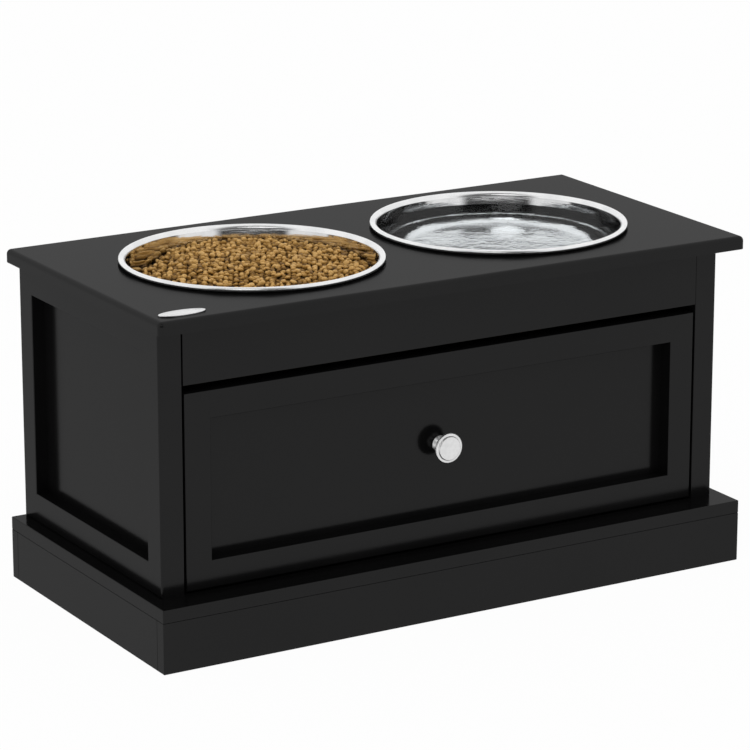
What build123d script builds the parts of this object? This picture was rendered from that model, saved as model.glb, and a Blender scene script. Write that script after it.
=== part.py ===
from build123d import *
import os

os.makedirs("parts", exist_ok=True)

# Elevated feeder for a dog: a plinth, a case with one drawer, and a top board that holds two bowls.
# Lengths are in millimetres. X runs to the right, Y to the back and Z up.
# The origin is on the floor, under the middle of the plinth.

# Outside sizes: the case, and how far the plinth and the top board stand out from it
case_length = 574.0
case_depth = 271.0
overall_height = 310.0
plinth_height = 58.0
plinth_ledge_side = 13.0
plinth_ledge_front = 27.0
plinth_ledge_back = 2.0
top_overhang_side = 12.0
top_overhang_front = 27.0
top_overhang_back = 2.0

# Boards
board_thickness = 12.0
top_edge_radius = 4.5
skirt_thickness = 12.0
side_thickness = 22.0
post_width = 25.0
side_rail_height = 27.0
side_panel_thickness = 10.0
side_edge_radius = 2.0
panel_lap = 6.0
back_panel_thickness = 9.0
back_panel_lap = 10.0
front_rail_height = 54.0
front_rail_thickness = 9.0
front_rail_gap = 1.2
corner_block_size = 28.0
corner_block_height = 30.0
edge_radius = 0.8
seam_radius = 0.7
joint_gap = 0.2

# Drawer
face_side_gap = 2.0
face_bottom_gap = 2.0
face_top_gap = 7.0
face_thickness = 22.0
face_panel_thickness = 7.0
face_edge_radius = 1.2
face_stile_width = 25.0
face_rail_height = 25.0
box_back_gap = 10.0
box_wall = 12.0
box_above_face_bottom = 2.0
box_below_face_top = 9.0
tray_thickness = 4.0
tray_lift = 4.0
groove_depth = 5.0

# Roller runners: a channel on the case and an angle under each side of the drawer
runner_space = 12.0
runner_setback = 24.0
runner_back_gap = 8.0
runner_steel = 1.2
runner_play = 1.0
track_lip = 6.0
roller_radius = 7.0
roller_width = 7.2
roller_lift = 10.0
roller_end_margin = 10.0
roller_gap = 0.15
roller_side_play = 0.4
pin_radius = 2.0
pin_play = 0.08
pin_head_radius = 3.5
pin_head_height = 0.8

# Bowls of pressed sheet with a rolled bead round the rim
bowl_spacing = 258.0
bowl_depth = 67.0
bowl_sheet = 1.0
bowl_rim_radius = 119.0
bowl_floor_radius = 107.0
bowl_floor_bend = 30.0
bowl_neck_run = 4.0
bowl_neck_bend = 3.6
bead_radius = 2.4
bead_turn = 230.0
bowl_seat_gap = 0.2
bowl_hole_play = 1.0

# Knob, measured along its axis from the face of the drawer's panel
knob_foot_radius = 8.2
knob_foot_height = 1.4
knob_waist = 7.0
knob_flange_radius = 14.0
knob_flange_start = 12.2
knob_flange_end = 16.8
knob_cap_radius = 11.0
knob_cap_dome = 0.8
knob_length = 20.0
knob_thread_depth = 13.0

# Blank oval plate on the top board
badge_length = 44.0
badge_width = 16.0
badge_thickness = 1.2
badge_border = 1.4
badge_recess = 0.4
badge_from_left = 31.0
badge_from_front = 19.0

# Fasteners
fastener_play = 0.05
recess_width = 0.7
recess_depth = 1.2
recess_taper = 8.0
panel_screw_radius = 1.6
panel_screw_length = 16.0
panel_screw_margin = 30.0
runner_screw_radius = 1.6
runner_screw_length = 11.0
runner_screw_margin = 26.0
box_screw_radius = 1.9
box_screw_length = 34.0
box_screw_margin = 40.0
face_screw_radius = 1.7
face_screw_length = 25.0
face_screw_spacing = 150.0
base_screw_radius = 1.9
base_screw_length = 34.0
block_screw_radius = 2.0
block_screw_length = 38.0
knob_screw_radius = 2.0
knob_screw_length = 31.0
knob_screw_head_radius = 4.2
knob_screw_head_height = 2.2
post_dowel_radius = 4.0
post_dowel_length = 24.0
rail_dowel_radius = 2.5
rail_dowel_length = 24.0
rail_dowel_margin = 12.0
rail_dowel_spacing = 20.0
dowel_depth_in_board = 8.0
cam_radius = 6.0
cam_depth = 10.0
cam_drop = 11.0
cam_slot = 5.6
cam_cross_width = 1.4
cam_spacing = 120.0
cam_bolt_radius = 2.2
cam_bolt_head_radius = 2.6
cam_bolt_head_height = 2.4
cam_bolt_depth_in_board = 8.0

# Faces and levels that follow from the sizes above
case_top = overall_height - board_thickness
case_height = case_top - plinth_height
plinth_length = case_length + 2 * plinth_ledge_side
plinth_depth = case_depth + plinth_ledge_front + plinth_ledge_back
case_front = plinth_ledge_front - plinth_depth / 2
case_back = case_front + case_depth
case_middle = (case_front + case_back) / 2
top_length = case_length + 2 * top_overhang_side
top_front = case_front - top_overhang_front
top_back = case_back + top_overhang_back
top_middle = (top_front + top_back) / 2
inner_half = case_length / 2 - side_thickness
side_centre_x = inner_half + side_thickness / 2
skirt_height = plinth_height - board_thickness
back_panel_front = case_back - back_panel_thickness

face_half = inner_half - face_side_gap
face_bottom = plinth_height + face_bottom_gap
face_top = case_top - front_rail_height - face_top_gap
face_back = case_front + face_thickness
face_panel_front = face_back - face_panel_thickness

box_half = inner_half - runner_space
box_inner_half = box_half - box_wall
box_bottom = face_bottom + box_above_face_bottom
box_top = face_top - box_below_face_top
box_inner_front = face_back + box_wall
box_back = back_panel_front - box_back_gap
box_inner_back = box_back - box_wall
tray_bottom = box_bottom + tray_lift
tray_top = tray_bottom + tray_thickness

roller_level = box_bottom + roller_lift
track_top = roller_level - roller_radius - roller_gap
angle_flange_bottom = roller_level + roller_radius + roller_gap
runner_front = case_front + runner_setback
runner_back = back_panel_front - runner_back_gap
angle_face = box_half + runner_steel
channel_face = inner_half - runner_steel
front_roller_y = runner_front + roller_end_margin
rear_roller_y = box_back - roller_radius - roller_end_margin

bead_centre_radius = bowl_rim_radius - bead_radius
bead_centre_level = overall_height + bowl_seat_gap + bead_radius
bead_sheet_radius = bead_radius - bowl_sheet / 2
sheet_top = bead_centre_level + bead_sheet_radius
sheet_floor = bead_centre_level + bead_radius - bowl_depth + bowl_sheet / 2
neck_radius = bead_centre_radius - bowl_neck_run
wall_slope = (neck_radius - bowl_floor_radius) / (sheet_top - sheet_floor)
wall_at_board = neck_radius - wall_slope * (sheet_top - overall_height) + bowl_sheet / 2
bowl_hole_radius = wall_at_board + bowl_hole_play


def block(x0, x1, y0, y1, z0, z1):
    """Box between two opposite corners."""
    centre = Pos((x0 + x1) / 2, (y0 + y1) / 2, (z0 + z1) / 2)
    return centre * Box(abs(x1 - x0), abs(y1 - y0), abs(z1 - z0))


def rod(radius, length):
    """Cylinder that starts at its origin and runs along Z."""
    return Cylinder(radius, length, align=(Align.CENTER, Align.CENTER, Align.MIN))


def screw(radius, length, play=0.0):
    """Countersunk screw along Z with its head's face at Z = 0; play makes it the hole instead."""
    head = Cone(2 * radius + play, radius + play, radius, align=(Align.CENTER, Align.CENTER, Align.MIN))
    whole = head + rod(radius + play, length + play)
    return whole if play else whole - cross_recess(radius)


def cross_recess(radius):
    """Cross-shaped driver recess down from Z = 0, as wide as twice the screw's radius."""
    arms = Rectangle(2 * radius, recess_width) + Rectangle(recess_width, 2 * radius)
    return extrude(arms, recess_depth, taper=recess_taper)


def dowel(radius, length, play=0.0):
    """Wooden pin along Z; play makes it the hole instead."""
    pin = Pos(0, 0, -play) * rod(radius + play, length + 2 * play)
    return chamfer(pin.edges().filter_by(GeomType.CIRCLE), radius / 5)


def towards(direction, points):
    """Places at the points, each with its own Z along the direction."""
    return [Plane(origin=point, z_dir=direction).location for point in points]


def fitted(places, maker, *sizes):
    """Solids at the places, and the slightly larger shapes that make their holes."""
    solids = [place * maker(*sizes) for place in places]
    holes = [place * maker(*sizes, fastener_play) for place in places]
    return solids, holes


def mirrored(shapes):
    """The same shapes on the other side of the middle plane."""
    return [mirror(shape, Plane.YZ) for shape in shapes]


def write(name, *shapes):
    """One STEP file for a node, which may hold several separate solids."""
    solids = [solid for shape in shapes for solid in shape.solids()]
    whole = solids[0] if len(solids) == 1 else Compound(children=solids)
    export_step(whole, f"parts/{name}.step")


def framed_face(width, height, thickness, stile, rail, panel, outer_radius):
    """Frame with a panel rebated into its back: outer face at Y = 0, foot at Z = 0."""
    half = width / 2
    open_half = half - stile
    open_top = height - rail
    seat = thickness - panel
    frame = block(-half, half, 0, thickness, 0, height)
    frame = fillet(frame.faces().sort_by(Axis.Y)[0].edges(), outer_radius)
    frame -= block(-open_half, open_half, 0, thickness, rail, open_top)
    frame = fillet(frame.faces().sort_by(Axis.Y)[0].inner_wires()[0].edges(), edge_radius)
    back_edges = frame.faces().sort_by(Axis.Y)[-1].edges().filter_by(Axis.Z).sort_by(Axis.X)
    frame = fillet([back_edges[0], back_edges[-1]], edge_radius)
    rebate = open_half + panel_lap
    frame -= block(-rebate, rebate, seat, thickness, rail - panel_lap, open_top + panel_lap)
    lap = panel_lap - joint_gap
    panel_half = open_half + lap
    return {
        "left": frame & block(-half, -open_half, 0, thickness, 0, height),
        "right": frame & block(open_half, half, 0, thickness, 0, height),
        "top": frame & block(-open_half, open_half, 0, thickness, open_top, height),
        "bottom": frame & block(-open_half, open_half, 0, thickness, 0, rail),
        "panel": block(-panel_half, panel_half, seat, thickness, rail - lap, open_top + lap),
    }


def rounded(piece, radius):
    """A board with all its edges rounded."""
    return fillet(piece.edges(), radius)


def cam(play=0.0):
    """Cam disc along Z, slotted from its middle to its +X side for the bolt's head."""
    disc = rod(cam_radius + play, cam_depth + play)
    if play:
        return disc
    slot = block(-cam_slot / 2, cam_radius, -cam_slot / 2, cam_slot / 2, cam_depth - cam_slot, cam_depth)
    cross = Rectangle(cam_radius, cam_cross_width) + Rectangle(cam_cross_width, cam_radius)
    return disc - slot - extrude(cross, cam_cross_width)


def cam_bolt(play=0.0):
    """Bolt along Z: screwed into the board below Z = 0, its head at the cam's middle."""
    reach = cam_drop + cam_bolt_head_height / 2
    shank = Pos(0, 0, -cam_bolt_depth_in_board) * rod(cam_bolt_radius + play, cam_bolt_depth_in_board + reach)
    head_height = reach if play else cam_bolt_head_height
    return shank + Pos(0, 0, reach - head_height) * rod(cam_bolt_head_radius + play, head_height)


def bowl():
    """Pressed bowl with a rolled bead, its section drawn as the sheet's middle line."""
    wall = FilletPolyline(
        (0, sheet_floor),
        (bowl_floor_radius, sheet_floor),
        (neck_radius, sheet_top),
        (bead_centre_radius, sheet_top),
        radius=[bowl_floor_bend, bowl_neck_bend],
    )
    bead = CenterArc((bead_centre_radius, bead_centre_level), bead_sheet_radius, 90, -bead_turn)
    line = Wire(wall.edges() + bead.edges())
    outline = line.offset_2d(bowl_sheet / 2, side=Side.BOTH, closed=True)
    half_plane = Pos(bowl_rim_radius, overall_height) * Rectangle(2 * bowl_rim_radius, 2 * overall_height)
    section = Plane.XZ * (make_face(outline) & half_plane)
    return revolve(section, Axis.Z)


def knob():
    """Turned knob along Z, with its foot at Z = 0 and a threaded hole up its middle."""
    cap_bottom = knob_length - knob_cap_dome
    cap_corner = knob_cap_radius - edge_radius
    flange_corner = knob_flange_radius - edge_radius
    outline = [
        Line((0, 0), (knob_foot_radius, 0)),
        Line((knob_foot_radius, 0), (knob_foot_radius, knob_foot_height)),
        Bezier(
            (knob_foot_radius, knob_foot_height),
            (knob_waist, knob_foot_height),
            (knob_waist, knob_flange_start),
            (flange_corner, knob_flange_start),
        ),
        ThreePointArc(
            (flange_corner, knob_flange_start),
            (knob_flange_radius, (knob_flange_start + knob_flange_end) / 2),
            (flange_corner, knob_flange_end),
        ),
        Line((flange_corner, knob_flange_end), (knob_cap_radius, knob_flange_end)),
        Line((knob_cap_radius, knob_flange_end), (cap_corner, cap_bottom)),
        Bezier((cap_corner, cap_bottom), (cap_corner / 2, knob_length), (0, knob_length)),
        Line((0, knob_length), (0, 0)),
    ]
    body = revolve(Plane.XZ * make_face(outline), Axis.Z)
    return body - rod(knob_screw_radius + fastener_play, knob_thread_depth)


# Fasteners of the case: each group's right-hand half, then the left-hand half mirrored from it
cam_ys = [case_middle - cam_spacing / 2, case_middle + cam_spacing / 2]
post_ys = [case_front + post_width / 2, case_back - post_width / 2]
cam_bolt_x = inner_half + cam_depth - cam_slot / 2

cam_places = [
    Plane(origin=(inner_half, y, case_top - cam_drop), x_dir=(0, 0, 1), z_dir=(1, 0, 0)).location
    for y in cam_ys
]
cams, cam_holes = fitted(cam_places, cam)
cam_bolts, cam_bolt_holes = fitted(towards((0, 0, -1), [(cam_bolt_x, y, case_top) for y in cam_ys]), cam_bolt)

top_dowel_points = [(side_centre_x, y, case_top + dowel_depth_in_board) for y in post_ys]
base_dowel_points = [(side_centre_x, y, plinth_height - dowel_depth_in_board) for y in post_ys]
dowel_places = towards((0, 0, -1), top_dowel_points) + towards((0, 0, 1), base_dowel_points)
post_dowels, post_dowel_holes = fitted(dowel_places, dowel, post_dowel_radius, post_dowel_length)

base_screw_places = towards((0, 0, 1), [(side_centre_x, y, skirt_height) for y in cam_ys])
base_screws, base_screw_holes = fitted(base_screw_places, screw, base_screw_radius, base_screw_length)

rail_dowel_y = case_front + front_rail_thickness / 2
rail_dowel_low = case_top - front_rail_height + rail_dowel_margin
rail_dowel_points = [
    (inner_half - rail_dowel_length / 2, rail_dowel_y, level)
    for level in (rail_dowel_low, rail_dowel_low + rail_dowel_spacing)
]
rail_dowel_places = towards((1, 0, 0), rail_dowel_points)
rail_dowels, rail_dowel_holes = fitted(rail_dowel_places, dowel, rail_dowel_radius, rail_dowel_length)

panel_screw_x = inner_half + back_panel_lap / 2
panel_screw_step = (case_height - 2 * panel_screw_margin) / 3
panel_screw_points = [
    (panel_screw_x, case_back, plinth_height + panel_screw_margin + step * panel_screw_step)
    for step in range(4)
]
panel_screw_places = towards((0, -1, 0), panel_screw_points)
panel_screws, panel_screw_holes = fitted(panel_screw_places, screw, panel_screw_radius, panel_screw_length)

block_centre_x = plinth_length / 2 - skirt_thickness - corner_block_size / 2
block_centre_y = plinth_depth / 2 - skirt_thickness - corner_block_size / 2
block_foot = skirt_height - corner_block_height
block_screw_points = [(block_centre_x, y, block_foot) for y in (-block_centre_y, block_centre_y)]
block_screw_places = towards((0, 0, 1), block_screw_points)
block_screws, block_screw_holes = fitted(block_screw_places, screw, block_screw_radius, block_screw_length)

runner_screw_ys = [
    runner_front + runner_screw_margin,
    (runner_front + runner_back) / 2,
    runner_back - runner_screw_margin,
]
channel_screw_places = towards((1, 0, 0), [(channel_face, y, roller_level) for y in runner_screw_ys])
channel_screws, channel_screw_holes = fitted(
    channel_screw_places, screw, runner_screw_radius, runner_screw_length
)
angle_screw_places = towards((-1, 0, 0), [(angle_face, y, roller_level) for y in runner_screw_ys])
angle_screws, angle_screw_holes = fitted(angle_screw_places, screw, runner_screw_radius, runner_screw_length)

right_holes = (
    cam_holes + cam_bolt_holes + post_dowel_holes + base_screw_holes + rail_dowel_holes
    + panel_screw_holes + block_screw_holes + channel_screw_holes
)
case_holes = right_holes + mirrored(right_holes)

write("cam_locks", *cams, *mirrored(cams))
write("cam_bolts", *cam_bolts, *mirrored(cam_bolts))
write("post_dowels", *post_dowels, *mirrored(post_dowels))
write("base_screws", *base_screws, *mirrored(base_screws))
write("front_rail_dowels", *rail_dowels, *mirrored(rail_dowels))
write("back_panel_screws", *panel_screws, *mirrored(panel_screws))
write("corner_block_screws", *block_screws, *mirrored(block_screws))
write("case_runner_screws", *channel_screws, *mirrored(channel_screws))

# Plinth
half_length = plinth_length / 2
half_depth = plinth_depth / 2
plinth_board = block(-half_length, half_length, -half_depth, half_depth, skirt_height, plinth_height)
write("plinth_board", rounded(plinth_board, edge_radius) - case_holes)

skirt_inner_x = half_length - skirt_thickness
skirt_inner_y = half_depth - skirt_thickness
front_skirt = block(-half_length, half_length, -half_depth, -skirt_inner_y, 0, skirt_height)
front_skirt = rounded(front_skirt, seam_radius)
write("plinth_front_skirt", front_skirt)
write("plinth_back_skirt", mirror(front_skirt, Plane.XZ))
right_skirt = block(skirt_inner_x, half_length, -skirt_inner_y, skirt_inner_y, 0, skirt_height)
right_skirt = rounded(right_skirt, seam_radius)
write("plinth_right_skirt", right_skirt)
write("plinth_left_skirt", mirror(right_skirt, Plane.YZ))

corner_blocks = [
    Pos(side * block_centre_x, end * block_centre_y, block_foot + corner_block_height / 2)
    * Box(corner_block_size, corner_block_size, corner_block_height)
    for side in (-1, 1)
    for end in (-1, 1)
]
write("plinth_corner_blocks", *[piece - case_holes for piece in corner_blocks])

# Sides of the case: two posts, two rails and a panel each
side_pieces = framed_face(
    case_depth, case_height, side_thickness, post_width, side_rail_height,
    side_panel_thickness, side_edge_radius,
)
side_place = Pos(case_length / 2, case_middle, plinth_height) * Rot(0, 0, 90)
back_rebate = block(
    -inner_half - back_panel_lap, inner_half + back_panel_lap,
    back_panel_front, case_back, plinth_height, case_top,
)
side_names = {
    "left": "front_post",
    "right": "back_post",
    "top": "top_rail",
    "bottom": "bottom_rail",
    "panel": "panel",
}
for key, name in side_names.items():
    piece = side_place * side_pieces[key] - back_rebate - right_holes
    write(f"side_right_{name}", piece)
    write(f"side_left_{name}", mirror(piece, Plane.YZ))

back_panel_half = inner_half + back_panel_lap - joint_gap
back_panel = block(-back_panel_half, back_panel_half, back_panel_front, case_back, plinth_height, case_top)
write("back_panel", back_panel - case_holes)

front_rail = block(
    front_rail_gap - inner_half, inner_half,
    case_front, case_front + front_rail_thickness, case_top - front_rail_height, case_top,
)
front_rail = fillet(front_rail.faces().sort_by(Axis.Y)[0].edges(), seam_radius)
write("front_rail", front_rail - case_holes)

# Top board, its two bowl holes and the oval plate
bowl_xs = {"bowl_left": -bowl_spacing / 2, "bowl_right": bowl_spacing / 2}
top_board = block(-top_length / 2, top_length / 2, top_front, top_back, case_top, overall_height)
top_edges = top_board.edges()
low_edges = top_edges.group_by(Axis.Z)[0]
top_board = fillet(top_edges - low_edges, top_edge_radius)
for x in bowl_xs.values():
    top_board -= Pos(x, top_middle, case_top) * rod(bowl_hole_radius, board_thickness)
write("top_board", top_board - case_holes)

badge_place = Pos(badge_from_left - top_length / 2, top_front + badge_from_front, overall_height)
badge = extrude(Ellipse(badge_length / 2, badge_width / 2), badge_thickness)
badge_field = extrude(Ellipse(badge_length / 2 - badge_border, badge_width / 2 - badge_border), badge_recess)
write("badge_plate", badge_place * (badge - Pos(0, 0, badge_thickness - badge_recess) * badge_field))

for name, x in bowl_xs.items():
    write(name, Pos(x, top_middle, 0) * bowl())

# Runners: the channel on the case and the angle under the drawer, with a roller on each
lip_bottom = angle_flange_bottom + runner_steel + runner_play
channel = block(channel_face, inner_half, runner_front, runner_back, track_top - runner_steel, lip_bottom)
channel += block(
    angle_face + runner_play, inner_half, runner_front, runner_back, track_top - runner_steel, track_top
)
channel += block(
    inner_half - track_lip, inner_half, runner_front, runner_back, lip_bottom, lip_bottom + runner_steel
)
angle_top = angle_flange_bottom + runner_steel
angle_front = face_back + joint_gap
angle = block(box_half, angle_face, angle_front, box_back, box_bottom - runner_steel, angle_top)
angle += block(box_inner_half, angle_face, angle_front, box_back, box_bottom - runner_steel, box_bottom)
angle += block(box_half, channel_face - runner_play, angle_front, box_back, angle_flange_bottom, angle_top)



def roller():
    """Nylon roller along Z with rounded edges and a running bore."""
    body = fillet(rod(roller_radius, roller_width).edges(), edge_radius)
    return body - rod(pin_radius + pin_play, roller_width)


def roller_pin():
    """Riveted pin along Z: its shank starts in the steel at Z = 0 and its head keeps the roller on."""
    shank_length = runner_steel + 2 * roller_side_play + roller_width
    return rod(pin_radius, shank_length) + Pos(0, 0, shank_length) * rod(pin_head_radius, pin_head_height)


pin_places = {
    "front": towards((-1, 0, 0), [(inner_half, front_roller_y, roller_level)])[0],
    "rear": towards((1, 0, 0), [(box_half, rear_roller_y, roller_level)])[0],
}
roller_offset = Pos(0, 0, runner_steel + roller_side_play)
pin_holes = [place * rod(pin_radius + fastener_play, runner_steel) for place in pin_places.values()]
channel = channel - channel_screw_holes - pin_holes
angle = angle - angle_screw_holes - pin_holes
write("case_runner_right", channel)
write("case_runner_left", mirror(channel, Plane.YZ))
write("drawer_runner_right", angle)
write("drawer_runner_left", mirror(angle, Plane.YZ))
for end, place in pin_places.items():
    pin = place * roller_pin()
    wheel = place * roller_offset * roller()
    write(f"{end}_roller_pins", pin, mirror(pin, Plane.YZ))
    write(f"{end}_roller_right", wheel)
    write(f"{end}_roller_left", mirror(wheel, Plane.YZ))

# Drawer: fasteners first, then the framed face, the box behind it and the knob
box_screw_points = [
    (box_half, y, level)
    for y in (face_back + box_wall / 2, box_back - box_wall / 2)
    for level in (box_bottom + box_screw_margin, box_top - box_screw_margin)
]
box_screw_places = towards((-1, 0, 0), box_screw_points)
box_screws, box_screw_holes = fitted(box_screw_places, screw, box_screw_radius, box_screw_length)

upper_screw_level = (face_top - face_rail_height + panel_lap + box_top) / 2
lower_screw_level = (tray_top + face_bottom + face_rail_height - panel_lap) / 2
face_screw_points = [
    (column * face_screw_spacing, box_inner_front, level)
    for column in (-1, 0, 1)
    for level in (lower_screw_level, upper_screw_level)
]
face_screw_places = towards((0, -1, 0), face_screw_points)
face_screws, face_screw_holes = fitted(face_screw_places, screw, face_screw_radius, face_screw_length)

knob_level = (face_bottom + face_top) / 2
knob_place = towards((0, -1, 0), [(0, face_panel_front, knob_level)])[0]
knob_screw_place = towards((0, -1, 0), [(0, box_inner_front, knob_level)])[0]
knob_screw_head = Pos(0, 0, -knob_screw_head_height) * rod(knob_screw_head_radius, knob_screw_head_height)
knob_screw_head = fillet(knob_screw_head.edges().sort_by(Axis.Z)[0], edge_radius)
knob_screw = knob_screw_place * (knob_screw_head + rod(knob_screw_radius, knob_screw_length))
knob_screw_hole = knob_screw_place * rod(knob_screw_radius + fastener_play, knob_screw_length)

side_holes = angle_screw_holes + box_screw_holes
drawer_holes = side_holes + mirrored(side_holes) + face_screw_holes + [knob_screw_hole]

write("drawer_runner_screws", *angle_screws, *mirrored(angle_screws))
write("drawer_box_screws", *box_screws, *mirrored(box_screws))
write("drawer_face_screws", *face_screws)
write("knob_screw", knob_screw)
write("knob", knob_place * knob())

face_pieces = framed_face(
    2 * face_half, face_top - face_bottom, face_thickness, face_stile_width, face_rail_height,
    face_panel_thickness, face_edge_radius,
)
face_names = {
    "left": "left_stile",
    "right": "right_stile",
    "top": "top_rail",
    "bottom": "bottom_rail",
    "panel": "panel",
}
for key, name in face_names.items():
    write(f"drawer_{name}", Pos(0, case_front, face_bottom) * face_pieces[key] - drawer_holes)

groove_half = box_inner_half + groove_depth
tray_groove = block(
    -groove_half, groove_half,
    box_inner_front - groove_depth, box_inner_back + groove_depth, tray_bottom, tray_top,
)
tray_half = groove_half - joint_gap
tray = block(
    -tray_half, tray_half,
    box_inner_front - groove_depth + joint_gap, box_inner_back + groove_depth - joint_gap,
    tray_bottom, tray_top,
)
box_side = block(box_inner_half, box_half, face_back, box_back, box_bottom, box_top)
box_front = block(-box_inner_half, box_inner_half, face_back, box_inner_front, box_bottom, box_top)
box_rear = block(-box_inner_half, box_inner_half, box_inner_back, box_back, box_bottom, box_top)
box_side = box_side - tray_groove - side_holes
write("drawer_side_right", box_side)
write("drawer_side_left", mirror(box_side, Plane.YZ))
write("drawer_inner_front", box_front - tray_groove - drawer_holes)
write("drawer_back", box_rear - tray_groove - drawer_holes)
write("drawer_bottom", tray)
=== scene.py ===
import itertools
import math
import random

import bpy
from mathutils import Matrix, Vector, noise
from mathutils.geometry import interpolate_bezier


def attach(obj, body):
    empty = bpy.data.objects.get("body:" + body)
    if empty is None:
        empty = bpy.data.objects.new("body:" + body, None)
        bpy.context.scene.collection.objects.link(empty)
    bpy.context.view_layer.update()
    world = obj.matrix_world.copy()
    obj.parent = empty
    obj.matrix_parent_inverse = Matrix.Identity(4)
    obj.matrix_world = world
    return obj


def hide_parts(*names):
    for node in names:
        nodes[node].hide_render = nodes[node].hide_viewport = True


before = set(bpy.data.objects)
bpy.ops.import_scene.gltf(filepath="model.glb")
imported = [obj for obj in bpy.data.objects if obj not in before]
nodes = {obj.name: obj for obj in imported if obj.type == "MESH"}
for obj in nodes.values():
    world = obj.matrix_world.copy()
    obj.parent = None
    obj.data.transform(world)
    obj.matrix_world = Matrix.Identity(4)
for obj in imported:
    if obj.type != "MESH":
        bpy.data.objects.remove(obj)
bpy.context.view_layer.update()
mm = 0.001
print("frame loaded:", len(nodes), "nodes")

# camera in front and to the left, a little above the feeder
camera = {
    "place": (-1.63370, -2.75225, 1.09748),
    "tilt": 74.096,  # degrees up from straight down
    "turn": -30.650,
    "lens": 175.406,
    "sensor": 36.0,
    "farthest": 60,  # metres
}
bpy.ops.object.camera_add(
    location=camera["place"],
    rotation=(math.radians(camera["tilt"]), 0, math.radians(camera["turn"])),
)
shot = bpy.context.object
shot.name = "shotCamera"
shot.data.lens = camera["lens"]
shot.data.sensor_width = camera["sensor"]
shot.data.clip_end = camera["farthest"]
bpy.context.scene.camera = shot
bpy.context.scene.view_settings.view_transform = "Standard"


class Wire:
    # a socket that can be added, multiplied and so on
    def __init__(self, graph, socket):
        self.graph, self.socket = graph, socket

    def math(self, operation, first, second):
        return self.graph.add("ShaderNodeMath", {"operation": operation}, {0: first, 1: second})

    def __add__(self, other):
        return self.math("ADD", self, other)

    def __sub__(self, other):
        return self.math("SUBTRACT", self, other)

    def __rsub__(self, other):
        return self.math("SUBTRACT", other, self)

    def __mul__(self, other):
        return self.math("MULTIPLY", self, other)

    __radd__ = __add__
    __rmul__ = __mul__

    def above(self, low, high):  # 0 under low, 1 over high, smooth between
        settings = {"interpolation_type": "SMOOTHSTEP"}
        return self.graph.add("ShaderNodeMapRange", settings, {0: self, 1: low, 2: high})


class Graph:
    # the nodes of a material or of the world
    def __init__(self, owner):
        owner.use_nodes = True
        self.tree = owner.node_tree
        self.tree.nodes.clear()

    def add(self, kind, settings, sockets, out=0):
        node = self.tree.nodes.new(kind)
        for key, value in settings.items():
            if key != "stops":
                setattr(node, key, value)
                continue
            ramp = node.color_ramp.elements
            while len(ramp) < len(value):
                ramp.new(0.5)
            for stop, (place, colour) in zip(ramp, value):
                stop.position = place
                stop.color = (*colour, 1)
        for key, value in sockets.items():
            if isinstance(value, Wire):
                self.tree.links.new(value.socket, node.inputs[key])
            else:
                node.inputs[key].default_value = value
        return Wire(self, node.outputs[out] if len(node.outputs) else None)

    def place(self, middle=(0, 0, 0), stretch=(1, 1, 1)):  # object coordinates
        here = self.add("ShaderNodeTexCoord", {}, {}, "Object")
        away = tuple(-m for m in middle)
        centred = self.add("ShaderNodeVectorMath", {"operation": "ADD"}, {0: here, 1: away})
        return self.add("ShaderNodeVectorMath", {"operation": "MULTIPLY"}, {0: centred, 1: stretch})

    def cloud(self, place, scale, detail=2.0, rough=0.5, twist=0.0):
        sockets = {"Vector": place, "Scale": scale, "Detail": detail}
        sockets.update({"Roughness": rough, "Distortion": twist})
        return self.add("ShaderNodeTexNoise", {}, sockets)

    def length(self, place):
        return self.add("ShaderNodeVectorMath", {"operation": "LENGTH"}, {0: place}, "Value")

    def dot(self, place, way):
        settings = {"operation": "DOT_PRODUCT"}
        return self.add("ShaderNodeVectorMath", settings, {0: place, 1: way}, "Value")

    def rings(self, distance, scale, detail=2.0):  # noise along one number
        sockets = {"W": distance, "Scale": scale, "Detail": detail}
        return self.add("ShaderNodeTexNoise", {"noise_dimensions": "1D"}, sockets)

    def mix(self, part, first, second):  # colours
        return self.add("ShaderNodeMix", {"data_type": "RGBA"}, {0: part, 6: first, 7: second}, 2)

    def bump(self, height, depth, under=None):
        sockets = {"Height": height, "Distance": depth}
        if under is not None:
            sockets["Normal"] = under
        return self.add("ShaderNodeBump", {}, sockets)

    def ray(self, kind):
        return self.add("ShaderNodeLightPath", {}, {}, "Is " + kind + " Ray")

    def surface(self, sockets):
        return self.add("ShaderNodeBsdfPrincipled", {}, sockets)

    def finish(self, shader, kind="ShaderNodeOutputMaterial"):
        self.add(kind, {}, {"Surface": shader})


def newGraph(name):
    material = bpy.data.materials.new(name)
    return material, Graph(material)


def blackLacquer():
    # satin black sprayed over fibreboard: a deep matte body under a thin clear sheen
    look = {
        "body": (0.0036, 0.0036, 0.0037, 1),
        "bodyWorn": (0.0046, 0.0045, 0.0046, 1),
        "sheen": 0.20,
        "sheenRough": 0.17,
        "sheenIor": 1.8,
        "matte": 0.75,  # roughness of the body
        "drift": 7,  # slow change over the boards, cells per metre
        "driftRough": 0.08,
        "dust": 2600,
        "dustRough": 0.05,
        "peel": 620,  # orange peel
        "peelDepth": 0.000012,
    }
    material, graph = newGraph("blackLacquer")
    here = graph.place()
    drift = graph.cloud(here, look["drift"], detail=3)
    dust = graph.cloud(here, look["dust"], detail=2, rough=0.6)
    colour = graph.mix(drift.above(0.35, 0.7), look["body"], look["bodyWorn"])
    rough = look["sheenRough"] + (drift - 0.5) * look["driftRough"]
    rough = rough + (dust - 0.5) * look["dustRough"]
    peel = graph.bump(graph.cloud(here, look["peel"], detail=1.5), look["peelDepth"])
    under = {"Base Color": colour, "Roughness": look["matte"], "Specular IOR Level": 0.0, "Normal": peel}
    over = {"Base Color": colour, "Roughness": rough, "IOR": look["sheenIor"], "Normal": peel}
    both = {0: look["sheen"], 1: graph.surface(under), 2: graph.surface(over)}
    graph.finish(graph.add("ShaderNodeMixShader", {}, both))
    return material


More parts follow.
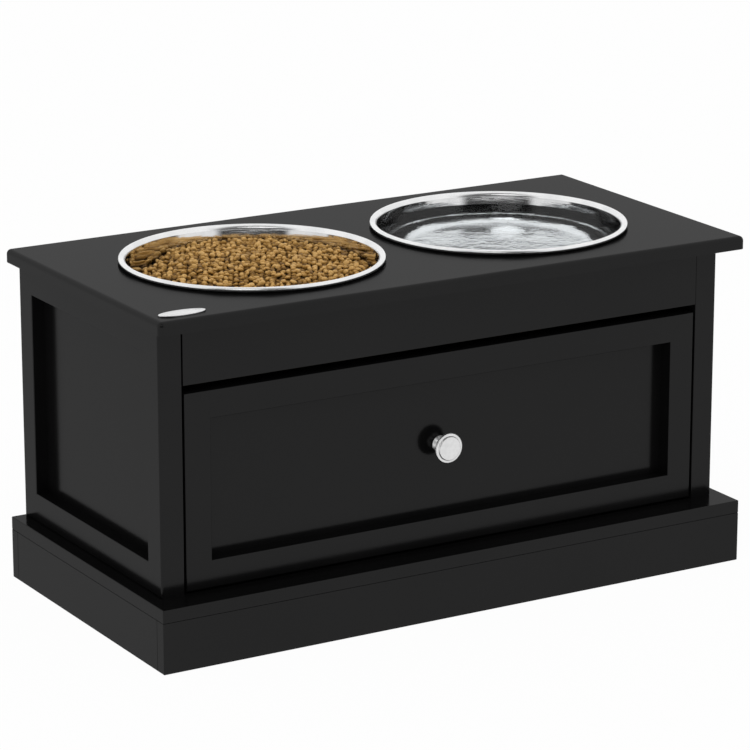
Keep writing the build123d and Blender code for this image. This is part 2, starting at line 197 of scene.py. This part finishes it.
def bowlSteel(name, middleX):
    # spun sheet, mirror polished, with fine rings left by the wheel and a satin rim
    look = {
        "bright": (0.86, 0.86, 0.86, 1),
        "dull": (0.77, 0.775, 0.78, 1),
        "rough": 0.05,
        "ringScale": 900,  # cells per metre
        "ringDepth": 0.000004,
        "ringRough": 0.04,
        "ringWander": 22,  # the rings aren't quite round
        "ringWanderBy": 0.0012,
        "smear": 38,
        "smearRough": 0.04,
        "waveDepth": 0.00003,  # unevenness drawn out round the wall
        "waveStretch": (4, 4, 0),
        "waveHeights": 300,
        "rim": (0.311, 0.3125),  # the polish turns into the satin rim here, metres above the floor
        "rimRough": 0.16,
    }
    material, graph = newGraph(name)
    here = graph.place((middleX, 0, 0))
    distance = graph.length(graph.place((middleX, 0, 0), (1, 1, 0.6)))
    flat = graph.place((middleX, 0, 0), (1, 1, 0))
    around = graph.add("ShaderNodeVectorMath", {"operation": "NORMALIZE"}, {0: flat})
    high = graph.place((middleX, 0, 0), (0, 0, look["waveHeights"]))
    drawnOut = {0: around, 1: look["waveStretch"], 2: high}
    wrapped = graph.add("ShaderNodeVectorMath", {"operation": "MULTIPLY_ADD"}, drawnOut)
    waves = graph.cloud(wrapped, 1, detail=2, rough=0.6)
    up = graph.add("ShaderNodeSeparateXYZ", {}, {0: here}, "Z")
    rim = up.above(*look["rim"])
    wander = graph.cloud(here, look["ringWander"], detail=2) * look["ringWanderBy"]
    rings = graph.rings(distance + wander, look["ringScale"], detail=3)
    smear = graph.cloud(here, look["smear"], detail=3, rough=0.55, twist=0.6)
    colour = graph.mix(smear.above(0.3, 0.75), look["bright"], look["dull"])
    rough = look["rough"] + rings.above(0.35, 0.8) * look["ringRough"]
    rough = rough + (smear - 0.5) * look["smearRough"] + rim * look["rimRough"]
    lines = graph.bump(rings, look["ringDepth"], graph.bump(waves, look["waveDepth"]))
    sockets = {"Base Color": colour, "Metallic": 1.0, "Roughness": rough, "Normal": lines}
    graph.finish(graph.surface(sockets))
    return material


def knobChrome():
    # satin chrome with the turning marks still faintly there
    look = {
        "bright": (0.76, 0.76, 0.76, 1),
        "dull": (0.70, 0.70, 0.70, 1),
        "rough": 0.3,
        "height": 148.5 * mm,  # of the knob's middle above the floor
        "ringScale": 2200,
        "ringRough": 0.08,
        "ringDepth": 0.000003,
        "smear": 260,
        "smearRough": 0.06,
    }
    material, graph = newGraph("knobChrome")
    distance = graph.length(graph.place((0, 0, look["height"]), (1, 0, 1)))
    rings = graph.rings(distance, look["ringScale"], detail=2)
    smear = graph.cloud(graph.place(), look["smear"], detail=3)
    colour = graph.mix(smear.above(0.3, 0.75), look["bright"], look["dull"])
    rough = look["rough"] + rings * look["ringRough"] + (smear - 0.5) * look["smearRough"]
    lines = graph.bump(rings, look["ringDepth"])
    sockets = {"Base Color": colour, "Metallic": 1.0, "Roughness": rough, "Normal": lines}
    graph.finish(graph.surface(sockets))
    return material


def brushedBadge():
    look = {
        "bright": (0.84, 0.84, 0.84, 1),
        "dull": (0.62, 0.62, 0.63, 1),
        "rough": 0.24,
        "brush": (60, 5200, 900),  # cells per metre along, across and up
        "brushRough": 0.2,
        "brushDepth": 0.00001,
    }
    material, graph = newGraph("brushedBadge")
    brush = graph.cloud(graph.place(stretch=look["brush"]), 1, detail=3, rough=0.65)
    colour = graph.mix(brush.above(0.3, 0.75), look["bright"], look["dull"])
    rough = look["rough"] + (brush - 0.5) * look["brushRough"]
    lines = graph.bump(brush, look["brushDepth"])
    sockets = {"Base Color": colour, "Metallic": 1.0, "Roughness": rough, "Normal": lines}
    graph.finish(graph.surface(sockets))
    return material


def runnerPaint():
    # white epoxy powder coat on pressed steel
    look = {
        "clean": (0.76, 0.76, 0.73, 1),
        "rubbed": (0.60, 0.60, 0.58, 1),
        "rough": 0.34,
        "rub": (900, 30, 900),
        "rubRough": 0.15,
        "peel": 1400,
        "peelDepth": 0.00004,
    }
    material, graph = newGraph("runnerPaint")
    rub = graph.cloud(graph.place(stretch=look["rub"]), 1, detail=3, rough=0.6)
    colour = graph.mix(rub.above(0.55, 0.85), look["clean"], look["rubbed"])
    rough = look["rough"] + (rub - 0.5) * look["rubRough"]
    peel = graph.bump(graph.cloud(graph.place(), look["peel"], detail=2), look["peelDepth"])
    graph.finish(graph.surface({"Base Color": colour, "Roughness": rough, "Normal": peel}))
    return material


def rollerNylon():
    look = {
        "pale": (0.76, 0.75, 0.70, 1),
        "grimy": (0.58, 0.57, 0.53, 1),
        "rough": 0.42,
        "milky": 0.08,
        "grime": 420,
        "grimeRough": 0.2,
        "grain": 5200,
        "grainDepth": 0.00002,
    }
    material, graph = newGraph("rollerNylon")
    here = graph.place()
    grime = graph.cloud(here, look["grime"], detail=3, rough=0.6)
    colour = graph.mix(grime.above(0.5, 0.8), look["pale"], look["grimy"])
    rough = look["rough"] + (grime - 0.5) * look["grimeRough"]
    grain = graph.bump(graph.cloud(here, look["grain"], detail=2), look["grainDepth"])
    sockets = {"Base Color": colour, "Roughness": rough, "Normal": grain}
    sockets["Subsurface Weight"] = look["milky"]
    graph.finish(graph.surface(sockets))
    return material


def zincPlate():
    # bright zinc with a slight yellow and blue bloom
    look = {
        "clear": (0.66, 0.66, 0.64, 1),
        "bloomed": (0.56, 0.55, 0.47, 1),
        "rough": 0.3,
        "bloom": 310,
        "bloomRough": 0.25,
        "marks": 3800,
        "marksDepth": 0.000008,
    }
    material, graph = newGraph("zincPlate")
    here = graph.place()
    bloom = graph.cloud(here, look["bloom"], detail=3, rough=0.6)
    colour = graph.mix(bloom.above(0.4, 0.75), look["clear"], look["bloomed"])
    rough = look["rough"] + (bloom - 0.5) * look["bloomRough"]
    marks = graph.bump(graph.cloud(here, look["marks"], detail=2, rough=0.6), look["marksDepth"])
    sockets = {"Base Color": colour, "Metallic": 1.0, "Roughness": rough, "Normal": marks}
    graph.finish(graph.surface(sockets))
    return material


def timber(name, look, stretch):
    # streaks and pores drawn out along the grain, which is the short side of stretch
    material, graph = newGraph(name)
    grain = graph.place(stretch=stretch)
    wave = graph.cloud(grain, look["waves"], detail=3, rough=0.55, twist=0.8)
    streak = graph.cloud(grain, look["streaks"], detail=4, rough=0.65)
    pores = graph.cloud(grain, look["pores"], detail=2).above(0.62, 0.74)
    tone = graph.mix(wave.above(0.3, 0.72), look["pale"], look["warm"])
    streaked = graph.mix(streak.above(0.45, 0.8) * 0.6, tone, look["dark"])
    colour = graph.mix(pores * 0.45, streaked, look["dark"])
    rough = look["rough"] + (streak - 0.5) * 0.2 + pores * 0.12
    relief = graph.bump(streak - pores, look["relief"])
    graph.finish(graph.surface({"Base Color": colour, "Roughness": rough, "Normal": relief}))
    return material


birch = {
    "pale": (0.70, 0.55, 0.37, 1),
    "warm": (0.60, 0.44, 0.27, 1),
    "dark": (0.42, 0.28, 0.15, 1),
    "waves": 16,
    "streaks": 90,
    "pores": 420,
    "rough": 0.42,
    "relief": 0.00004,
}
beech = {
    "pale": (0.64, 0.45, 0.27, 1),
    "warm": (0.54, 0.36, 0.20, 1),
    "dark": (0.34, 0.19, 0.09, 1),
    "waves": 30,
    "streaks": 180,
    "pores": 700,
    "rough": 0.6,
    "relief": 0.00005,
}

finishes = {
    "black_lacquer": blackLacquer(),
    "bowl_steel": bowlSteel("bowlSteel", 0),
    "knob_chrome": knobChrome(),
    "badge_metal": brushedBadge(),
    "runner_steel": runnerPaint(),
    "roller_nylon": rollerNylon(),
    "zinc_fasteners": zincPlate(),
    "dowel_wood": timber("beechDowel", beech, (0.12, 1, 1)),
    "drawer_box_wood": timber("birchAcross", birch, (0.07, 1, 1)),
}
birchDeep = timber("birchDeep", birch, (1, 0.07, 1))  # grain front to back
special = {
    "drawer_side_left": birchDeep,
    "drawer_side_right": birchDeep,
    "front_rail_dowels": finishes["black_lacquer"],  # the dowels take the black lacquer, so the open joint shows dark: painted shade in the joint
}

for name, node in nodes.items():
    for place in node.material_slots:
        place.material = special.get(name, finishes[place.material.name])
print("finishes laid on the boards and fittings")


def startClean():
    if bpy.context.object and bpy.context.object.mode != "OBJECT":
        bpy.ops.object.mode_set(mode="OBJECT")
    bpy.ops.object.select_all(action="DESELECT")


def named(name, material):
    piece = bpy.context.object
    piece.name = piece.data.name = name
    piece.data.materials.clear()
    piece.data.materials.append(material)
    return piece


def pickFaces(piece, test):
    # into edit mode, with only the faces selected that pass the test
    bpy.context.view_layer.objects.active = piece
    bpy.ops.object.mode_set(mode="EDIT")
    bpy.ops.mesh.select_mode(type="FACE")
    bpy.ops.mesh.select_all(action="DESELECT")
    bpy.ops.object.mode_set(mode="OBJECT")
    for face in piece.data.polygons:
        face.select = test(face)
    bpy.ops.object.mode_set(mode="EDIT")


def settled(piece, angle=35):
    # puts the piece's place into its mesh and smooths it
    startClean()
    bpy.context.view_layer.objects.active = piece
    piece.select_set(True)
    bpy.ops.object.transform_apply(location=True, rotation=True, scale=True)
    bpy.ops.object.shade_smooth_by_angle(angle=math.radians(angle))
    return piece


def applied(piece, kind, settings):
    modifier = piece.modifiers.new(kind.title(), kind)
    for key, value in settings.items():
        setattr(modifier, key, value)
    bpy.context.view_layer.objects.active = piece
    bpy.ops.object.modifier_apply(modifier=modifier.name)


def rounded(corners, steps):
    # a line through (out, up, bend radius) corners, each bend an arc
    line = []
    for number, (out, up, bend) in enumerate(corners):
        here = Vector((out, up))
        if bend == 0:
            line.append(here)
            continue
        back = (Vector(corners[number - 1][:2]) - here).normalized()
        ahead = (Vector(corners[number + 1][:2]) - here).normalized()
        half = back.angle(ahead) / 2
        middle = here + (back + ahead).normalized() * bend / math.sin(half)
        first = here + back * bend / math.tan(half) - middle
        last = here + ahead * bend / math.tan(half) - middle
        for step in range(steps + 1):
            line.append(middle + first.slerp(last, step / steps) * bend)
    return line


def turned(name, line, foot, up, out, steps, material):
    # a line in mm, drawn by extruding one point, then spun about its axis
    foot, up, out = Vector(foot), Vector(up), Vector(out)
    spots = [foot + (out * point.x + up * point.y) * mm for point in line]
    startClean()
    bpy.ops.mesh.primitive_plane_add(size=mm, location=spots[0])
    piece = named(name, material)
    bpy.ops.object.transform_apply(location=True)
    bpy.ops.object.mode_set(mode="EDIT")
    bpy.ops.mesh.select_mode(type="VERT")
    bpy.ops.mesh.select_all(action="SELECT")
    bpy.ops.mesh.merge(type="CENTER")
    for start, end in zip(spots, spots[1:]):
        bpy.ops.mesh.extrude_region_move(TRANSFORM_OT_translate={"value": end - start})
    bpy.ops.mesh.select_all(action="SELECT")
    bpy.ops.mesh.spin(steps=steps, angle=2 * math.pi, center=foot, axis=up)
    bpy.ops.mesh.select_all(action="SELECT")
    bpy.ops.mesh.remove_doubles(threshold=0.002 * mm)
    bpy.ops.mesh.normals_make_consistent(inside=False)
    bpy.ops.object.mode_set(mode="OBJECT")
    return piece


bowl = {
    "sheet": 1.0,
    "corners": [  # of the middle of the sheet: out, up, bend radius
        (0, 248.5, 0),
        (107, 248.5, 30),
        (112.6, 314.5, 3.6),
        (116.3, 314.5, 0),
    ],
    "bendSteps": 10,
    "bead": (116.3, 312.7, 1.8),  # out, up, radius of the rolled rim
    "roll": 230,  # degrees that the rim is rolled
    "rollSteps": 18,
    "steps": 144,
    "offset": 129,  # of a bowl's middle from the feeder's
}


def makeBowl(side, sign):
    middleX = sign * bowl["offset"] * mm
    line = rounded(bowl["corners"], bowl["bendSteps"])
    out, up, radius = bowl["bead"]
    for step in range(1, bowl["rollSteps"] + 1):
        angle = math.radians(90 - bowl["roll"] * step / bowl["rollSteps"])
        line.append(Vector((out + radius * math.cos(angle), up + radius * math.sin(angle))))
    steel = bowlSteel("bowlSteel" + side.title(), middleX)
    foot = (middleX, 0, 0)
    piece = turned("bowl_shell_" + side, line, foot, (0, 0, 1), (1, 0, 0), bowl["steps"], steel)
    settings = {"thickness": bowl["sheet"] * mm, "offset": 0, "use_even_offset": True}
    applied(piece, "SOLIDIFY", settings)
    settled(piece, angle=50)
    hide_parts("bowl_" + side)
    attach(piece, "bowl_" + side)


makeBowl("left", -1)
makeBowl("right", 1)
print("bowls spun")

knob = {
    "middle": (0, -108, 148.5),
    "thread": (2.1, 13),  # radius and depth of the screw's hole
    "foot": [(7.8, 0, 0.25), (7.8, 0.5, 0.3), (5.4, 3.4, 0)],  # corners: out, along, bend radius
    "neck": [(5.4, 3.4), (5.1, 6.4), (5.4, 13.2), (11.4, 13.2)],  # ends and handles of a curve
    "flange": [(11.4, 13.2, 0), (14.0, 15.0, 0.4), (13.3, 16.4, 0.7)],
    "cap": [(11.4, 16.5, 0.4), (10.5, 18.0, 0.8)],
    "crown": 5.25,  # how far out the level handle of the top's curve reaches
    "length": 18.9,
    "bendSteps": 6,
    "neckSteps": 18,
    "crownSteps": 8,
    "steps": 96,
}


def curved(hooks, steps):
    # a smooth line from the first hook to the last, without its first point
    points = interpolate_bezier(*[Vector((*hook, 0)) for hook in hooks], steps)
    return [Vector((point.x, point.y)) for point in points[1:]]


def makeKnob():
    hole, depth = knob["thread"]
    tip = Vector((0, knob["length"]))
    line = [Vector((0, depth)), Vector((hole, depth)), Vector((hole, 0))]
    line += rounded([(hole, 0, 0), *knob["foot"]], knob["bendSteps"])[1:]
    line += curved(knob["neck"], knob["neckSteps"])
    line += rounded([*knob["flange"], *knob["cap"], (*tip, 0)], knob["bendSteps"])[1:-1]
    edge = line[-1]
    top = [edge, edge.lerp(tip, 0.5), (knob["crown"], knob["length"]), tip]
    line += curved(top, knob["crownSteps"])
    foot = Vector(knob["middle"]) * mm
    chrome = finishes["knob_chrome"]
    piece = turned("knob_turned", line, foot, (0, -1, 0), (1, 0, 0), knob["steps"], chrome)
    settled(piece, angle=32)
    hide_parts("knob")
    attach(piece, "drawer")


makeKnob()
print("knob turned")

badge = {
    "middle": (-268, -131, 310),
    "size": (44, 16, 1.2),
    "border": 1.4,
    "slope": 0.3,  # run of the step down to the field
    "recess": 0.4,
    "soften": 0.15,
    "steps": 96,
}


def makeBadge():
    long, deep, thick = badge["size"]
    x, y, z = badge["middle"]
    startClean()
    bpy.ops.mesh.primitive_cylinder_add(
        vertices=badge["steps"],
        radius=0.5,
        depth=thick * mm,
        location=(x * mm, y * mm, (z + thick / 2) * mm),
    )
    piece = named("badge_oval", finishes["badge_metal"])
    piece.scale = (long * mm, deep * mm, 1)
    bpy.ops.object.transform_apply(location=True, scale=True)
    pickFaces(piece, lambda face: face.normal.z > 0.9)
    bpy.ops.mesh.inset(thickness=badge["border"] * mm)
    bpy.ops.mesh.inset(thickness=badge["slope"] * mm, depth=-badge["recess"] * mm)
    bpy.ops.object.mode_set(mode="OBJECT")
    settings = {"width": badge["soften"] * mm, "segments": 3, "limit_method": "ANGLE"}
    applied(piece, "BEVEL", settings)
    settled(piece)
    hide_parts("badge_plate")
    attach(piece, "case")


makeBadge()
print("badge cut")

# what the bowls hold is shown with them, and isn't part of the feeder
kibble = {
    "seed": 7,
    "size": (3.0, 2.7),  # radius and thickness, mm
    "sides": 7,
    "edge": 0.8,  # bevel
    "spacing": 5.3,
    "scatter": 1.4,
    "layers": 2,
    "layerDrop": 3.0,
    "layerShift": (0.5, 0.4),  # of a step to the right and back
    "drop": (-1.7, 1.2),  # a bit lies between these heights from its layer
    "lean": 0.6,  # radians
    "grow": ((0.85, 1.2), (0.8, 1.1), (0.8, 1.3)),  # least and most, along, across and thick
    "tone": (-0.05, 0.55),  # of a whole bit
    "paintedShadeRise": 0.24,  # painted shade and highlight: lighter by this for each mm above the heap's top, darker for each mm under it
    "level": 294,  # height of the heap's edge
    "dome": 6,
    "rise": 8.2,  # the far side stands higher than the near side by twice this
    "dip": 7.8,  # how far the left end sinks
    "dipStart": 0.55,  # of the reach
    "dipRun": 0.36,
    "reach": 110,
    "lumps": 2.5,
    "lumpScale": 0.03,  # lumps per mm
    "lumpSeed": 4.2,
}
random.seed(kibble["seed"])


def kibbleCoat():
    look = {
        "light": (0.95, 0.60, 0.22),
        "middle": (0.38, 0.195, 0.035),
        "dark": (0.02, 0.004, 0.0001),
        "rough": 0.55,
        "shine": 0.25,
        "crumbs": 900,
        "crumbsRough": 0.3,
        "crumbsDepth": 0.0004,
        "crumbsTone": 0.25,  # part of the colour that follows the crumbs, the rest the whole bit's tone with its painted shade
    }
    material, graph = newGraph("kibbleCoat")
    # the tone attribute holds each bit's own tone with painted shade by height
    whole = graph.add("ShaderNodeAttribute", {"attribute_name": "tone"}, {}, "Fac")
    crumbs = graph.cloud(graph.place(), look["crumbs"], detail=3, rough=0.6)
    tone = whole * (1 - look["crumbsTone"]) + crumbs.above(0.3, 0.75) * look["crumbsTone"]
    # the dark end shows mostly as painted shade in the gaps and undersides, the light end partly as
    # painted highlight on the tops
    stops = [(0.0, look["dark"]), (0.5, look["middle"]), (1.0, look["light"])]
    colour = graph.add("ShaderNodeValToRGB", {"stops": stops}, {0: tone})
    rough = look["rough"] + (crumbs - 0.5) * look["crumbsRough"]
    sockets = {"Base Color": colour, "Roughness": rough, "Specular IOR Level": look["shine"]}
    sockets["Normal"] = graph.bump(crumbs, look["crumbsDepth"])
    graph.finish(graph.surface(sockets))
    return material


def heapHeight(x, y):
    # mm above the floor, from the bowl's own middle
    turn = math.radians(camera["turn"])
    along = (x * math.cos(turn) + y * math.sin(turn)) / kibble["reach"]
    deep = (y * math.cos(turn) - x * math.sin(turn)) / kibble["reach"]
    dome = kibble["dome"] * (1 - along * along - deep * deep) + kibble["rise"] * deep
    sunk = min(max((-along - kibble["dipStart"]) / kibble["dipRun"], 0), 1)
    lump = noise.noise(Vector((x * kibble["lumpScale"], y * kibble["lumpScale"], kibble["lumpSeed"])))
    dip = kibble["dip"] * sunk * sunk * (3 - 2 * sunk)
    return kibble["level"] + dome + lump * kibble["lumps"] - dip


def wallRadius(z):
    # of the sheet's middle in the sloping wall, mm
    (low, floorUp), (high, rimUp) = bowl["corners"][1][:2], bowl["corners"][2][:2]
    return low + (z - floorUp) * (high - low) / (rimUp - floorUp)


def kibbleBit():
    radius, thick = kibble["size"]
    startClean()
    bpy.ops.mesh.primitive_cylinder_add(
        vertices=kibble["sides"],
        radius=radius * mm,
        depth=thick * mm,
    )
    bit = named("kibble", kibbleCoat())
    pickFaces(bit, lambda face: abs(face.normal.z) > 0.9)
    bpy.ops.mesh.bevel(offset=kibble["edge"] * mm, segments=1)
    bpy.ops.object.mode_set(mode="OBJECT")
    # tone of each point: the bit's own tone, with painted shade by height added when it is dropped
    bit.data.attributes.new("tone", "FLOAT", "POINT")
    return bit


def dropped(bit, middleX, x, y, z, top):
    copy = bit.copy()
    copy.data = bit.data.copy()
    bpy.context.scene.collection.objects.link(copy)
    lean = Matrix.Rotation(random.gauss(0, kibble["lean"]), 4, "X")
    lean = lean @ Matrix.Rotation(random.gauss(0, kibble["lean"]), 4, "Y")
    spin = Matrix.Rotation(random.uniform(0, 6.28), 4, "Z")  # any way round
    grow = [random.uniform(least, most) for least, most in kibble["grow"]]
    shape = Matrix.Diagonal((*grow, 1))
    spot = Matrix.Translation((middleX + x * mm, y * mm, z * mm))
    copy.data.transform(spot @ lean @ spin @ shape)
    shade = random.uniform(*kibble["tone"])
    # painted shade and highlight: points under the heap's top are darkened and points above it
    # lightened, by their height
    lift = [point.co.z / mm - top for point in copy.data.vertices]
    tone = [min(max(shade + kibble["paintedShadeRise"] * up, 0), 1) for up in lift]
    copy.data.attributes["tone"].data.foreach_set("value", tone)
    return copy


def makeKibble(host, middleX):
    bit = kibbleBit()
    bits = []
    step = kibble["spacing"]
    rowStep = step * 0.866  # rows of a triangular grid
    rows = int(2 * kibble["reach"] / rowStep) + 3
    across = range(-rows // 2, rows // 2 + 1)
    right, back = kibble["layerShift"]
    scatter = (-kibble["scatter"], kibble["scatter"])
    for layer, row, column in itertools.product(range(kibble["layers"]), across, across):
        x = (column + 0.5 * (row % 2) + right * layer) * step + random.uniform(*scatter)
        y = (row + back * layer) * rowStep + random.uniform(*scatter)
        top = heapHeight(x, y)
        z = top - layer * kibble["layerDrop"] + random.uniform(*kibble["drop"])
        if math.hypot(x, y) <= wallRadius(z) - kibble["size"][0]:
            bits.append(dropped(bit, middleX, x, y, z, top))
    startClean()
    for copy in bits:
        copy.select_set(True)
    bpy.context.view_layer.objects.active = bits[0]
    bpy.ops.object.join()
    heap = bpy.context.object
    bpy.data.objects.remove(bit)
    heap.name = heap.data.name = "kibble_heap"
    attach(heap, host)
    print("kibble poured:", len(bits), "bits,", len(heap.data.polygons), "faces")


makeKibble("bowl_left", -bowl["offset"] * mm)

water = {
    "level": 303.8,  # mm above the floor
    "reach": 111.5,
    "rings": 90,
    "steps": 200,
    "ripple": 0.2,  # mm
    "rippleScale": 0.055,  # waves per mm
    "rippleSeed": 1.7,
    "octaves": [(1, 1), (2.3, 0.45), (5, 0.2)],  # finer and lower each time
}


def waterClear():
    look = {
        "colour": (0.95, 0.97, 0.98, 1),
        "bend": 1.42,  # index of refraction
        "shine": 0.05,  # part that reflects
        "shiver": 160,  # cells per metre
        "shiverDepth": 0.0006,
    }
    material, graph = newGraph("waterClear")
    fine = graph.bump(graph.cloud(graph.place(), look["shiver"], detail=3), look["shiverDepth"])
    bent = {"Color": look["colour"], "Roughness": 0.0, "IOR": look["bend"], "Normal": fine}
    inside = graph.add("ShaderNodeBsdfRefraction", {}, bent)
    shine = graph.add("ShaderNodeBsdfAnisotropic", {}, {"Roughness": 0.0, "Normal": fine})
    graph.finish(graph.add("ShaderNodeMixShader", {}, {0: look["shine"], 1: inside, 2: shine}))
    return material


def makeWater(host, middleX):
    line = [Vector((water["reach"] * step / water["rings"], 0)) for step in range(water["rings"] + 1)]
    foot = (middleX, 0, water["level"] * mm)
    clear = waterClear()
    piece = turned("water_surface", line, foot, (0, 0, 1), (1, 0, 0), water["steps"], clear)
    for point in piece.data.vertices:
        x, y = (point.co.x - middleX) / mm, point.co.y / mm
        swirl = Vector((x * water["rippleScale"], y * water["rippleScale"], water["rippleSeed"]))
        wave = sum(noise.noise(swirl * finer) * lower for finer, lower in water["octaves"])
        point.co.z += wave * water["ripple"] * mm
    piece.data.shade_smooth()
    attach(piece, host)


makeWater("bowl_right", bowl["offset"] * mm)
print("water poured")

studio = {
    "floor": 60,  # metres
    "floorGlow": 0.97,  # white of itself, the rest is lit and takes the shadow
    "floorColour": (0.9, 0.9, 0.9, 1),
    "diffuse": 0.72,  # strength of the dome on matte surfaces
    "lampPower": 9.0,
    "lampSize": 1.6,
    "lampPlace": (-1.5, -1.8, 2.2),
    # each dark card fades in over these cosines of its turn from the lens,
    # and its top fades out over these sines of the height
    "nearCard": (0.74, 0.88),
    "nearTop": (0.96, 0.99),
    "nearDark": 0.88,
    "farCard": (0.3, 0.6),  # turn from straight behind
    "farTop": (0.34, 0.44),
    "farDark": 0.93,
    "farDepth": (2, 2.9),  # ray depths, so that only a second mirror shows it
    "poolCard": (0, 0.4),  # seen through the water
    "poolTop": (0.7, 0.9),
    "poolDark": 0.88,
}


def floorPaint():
    # shows white to the lens and to polished metal, and keeps a faint shadow
    material, graph = newGraph("floorPaint")
    seen = graph.ray("Camera") + graph.ray("Glossy") + graph.ray("Transmission")
    seen = seen.above(0, 1) * studio["floorGlow"]
    matte = graph.add("ShaderNodeBsdfDiffuse", {}, {"Color": studio["floorColour"]})
    white = graph.add("ShaderNodeEmission", {}, {"Strength": 1.0})
    graph.finish(graph.add("ShaderNodeMixShader", {}, {0: seen, 1: matte, 2: white}))
    return material


startClean()
bpy.ops.mesh.primitive_plane_add(size=studio["floor"], location=(0, 0, 0))
floor = named("studioFloor", floorPaint())


def litDome():
    # white all round, with dark cards that only polished metal and the water show
    world = bpy.data.worlds.new("studioDome")
    bpy.context.scene.world = world
    graph = Graph(world)
    lens = graph.ray("Camera")
    wet = graph.ray("Transmission")
    polished = (graph.ray("Glossy") + wet).above(0, 1)
    way = graph.add("ShaderNodeTexCoord", {}, {}, "Generated")
    up = graph.dot(way, (0, 0, 1))
    level = graph.add("ShaderNodeVectorMath", {"operation": "MULTIPLY"}, {0: way, 1: (1, 1, 0)})
    level = graph.add("ShaderNodeVectorMath", {"operation": "NORMALIZE"}, {0: level})
    turn = math.radians(camera["turn"])
    facing = graph.dot(level, (math.sin(turn), -math.cos(turn), 0))
    near = facing.above(*studio["nearCard"]) * (1 - up.above(*studio["nearTop"]))
    again = graph.add("ShaderNodeLightPath", {}, {}, "Ray Depth").above(*studio["farDepth"])
    far = again * (facing * -1).above(*studio["farCard"]) * (1 - up.above(*studio["farTop"]))
    pool = facing.above(*studio["poolCard"]) * (1 - up.above(*studio["poolTop"]))
    cards = near * studio["nearDark"] + far * studio["farDark"]
    mirror = 1 - wet * pool * studio["poolDark"] - (polished - wet) * cards
    rest = 1 - lens - polished
    strength = lens + polished * mirror + rest * studio["diffuse"]
    light = graph.add("ShaderNodeBackground", {}, {"Color": (1, 1, 1, 1), "Strength": strength})
    graph.finish(light, "ShaderNodeOutputWorld")


litDome()
startClean()
bpy.ops.object.light_add(type="AREA", location=studio["lampPlace"])
lamp = bpy.context.object
lamp.name = "softBox"
lamp.data.shape = "DISK"
lamp.data.size = studio["lampSize"]
lamp.data.energy = studio["lampPower"]
lamp.rotation_euler = (-Vector(studio["lampPlace"])).to_track_quat("-Z", "Y").to_euler()
print("studio lit")
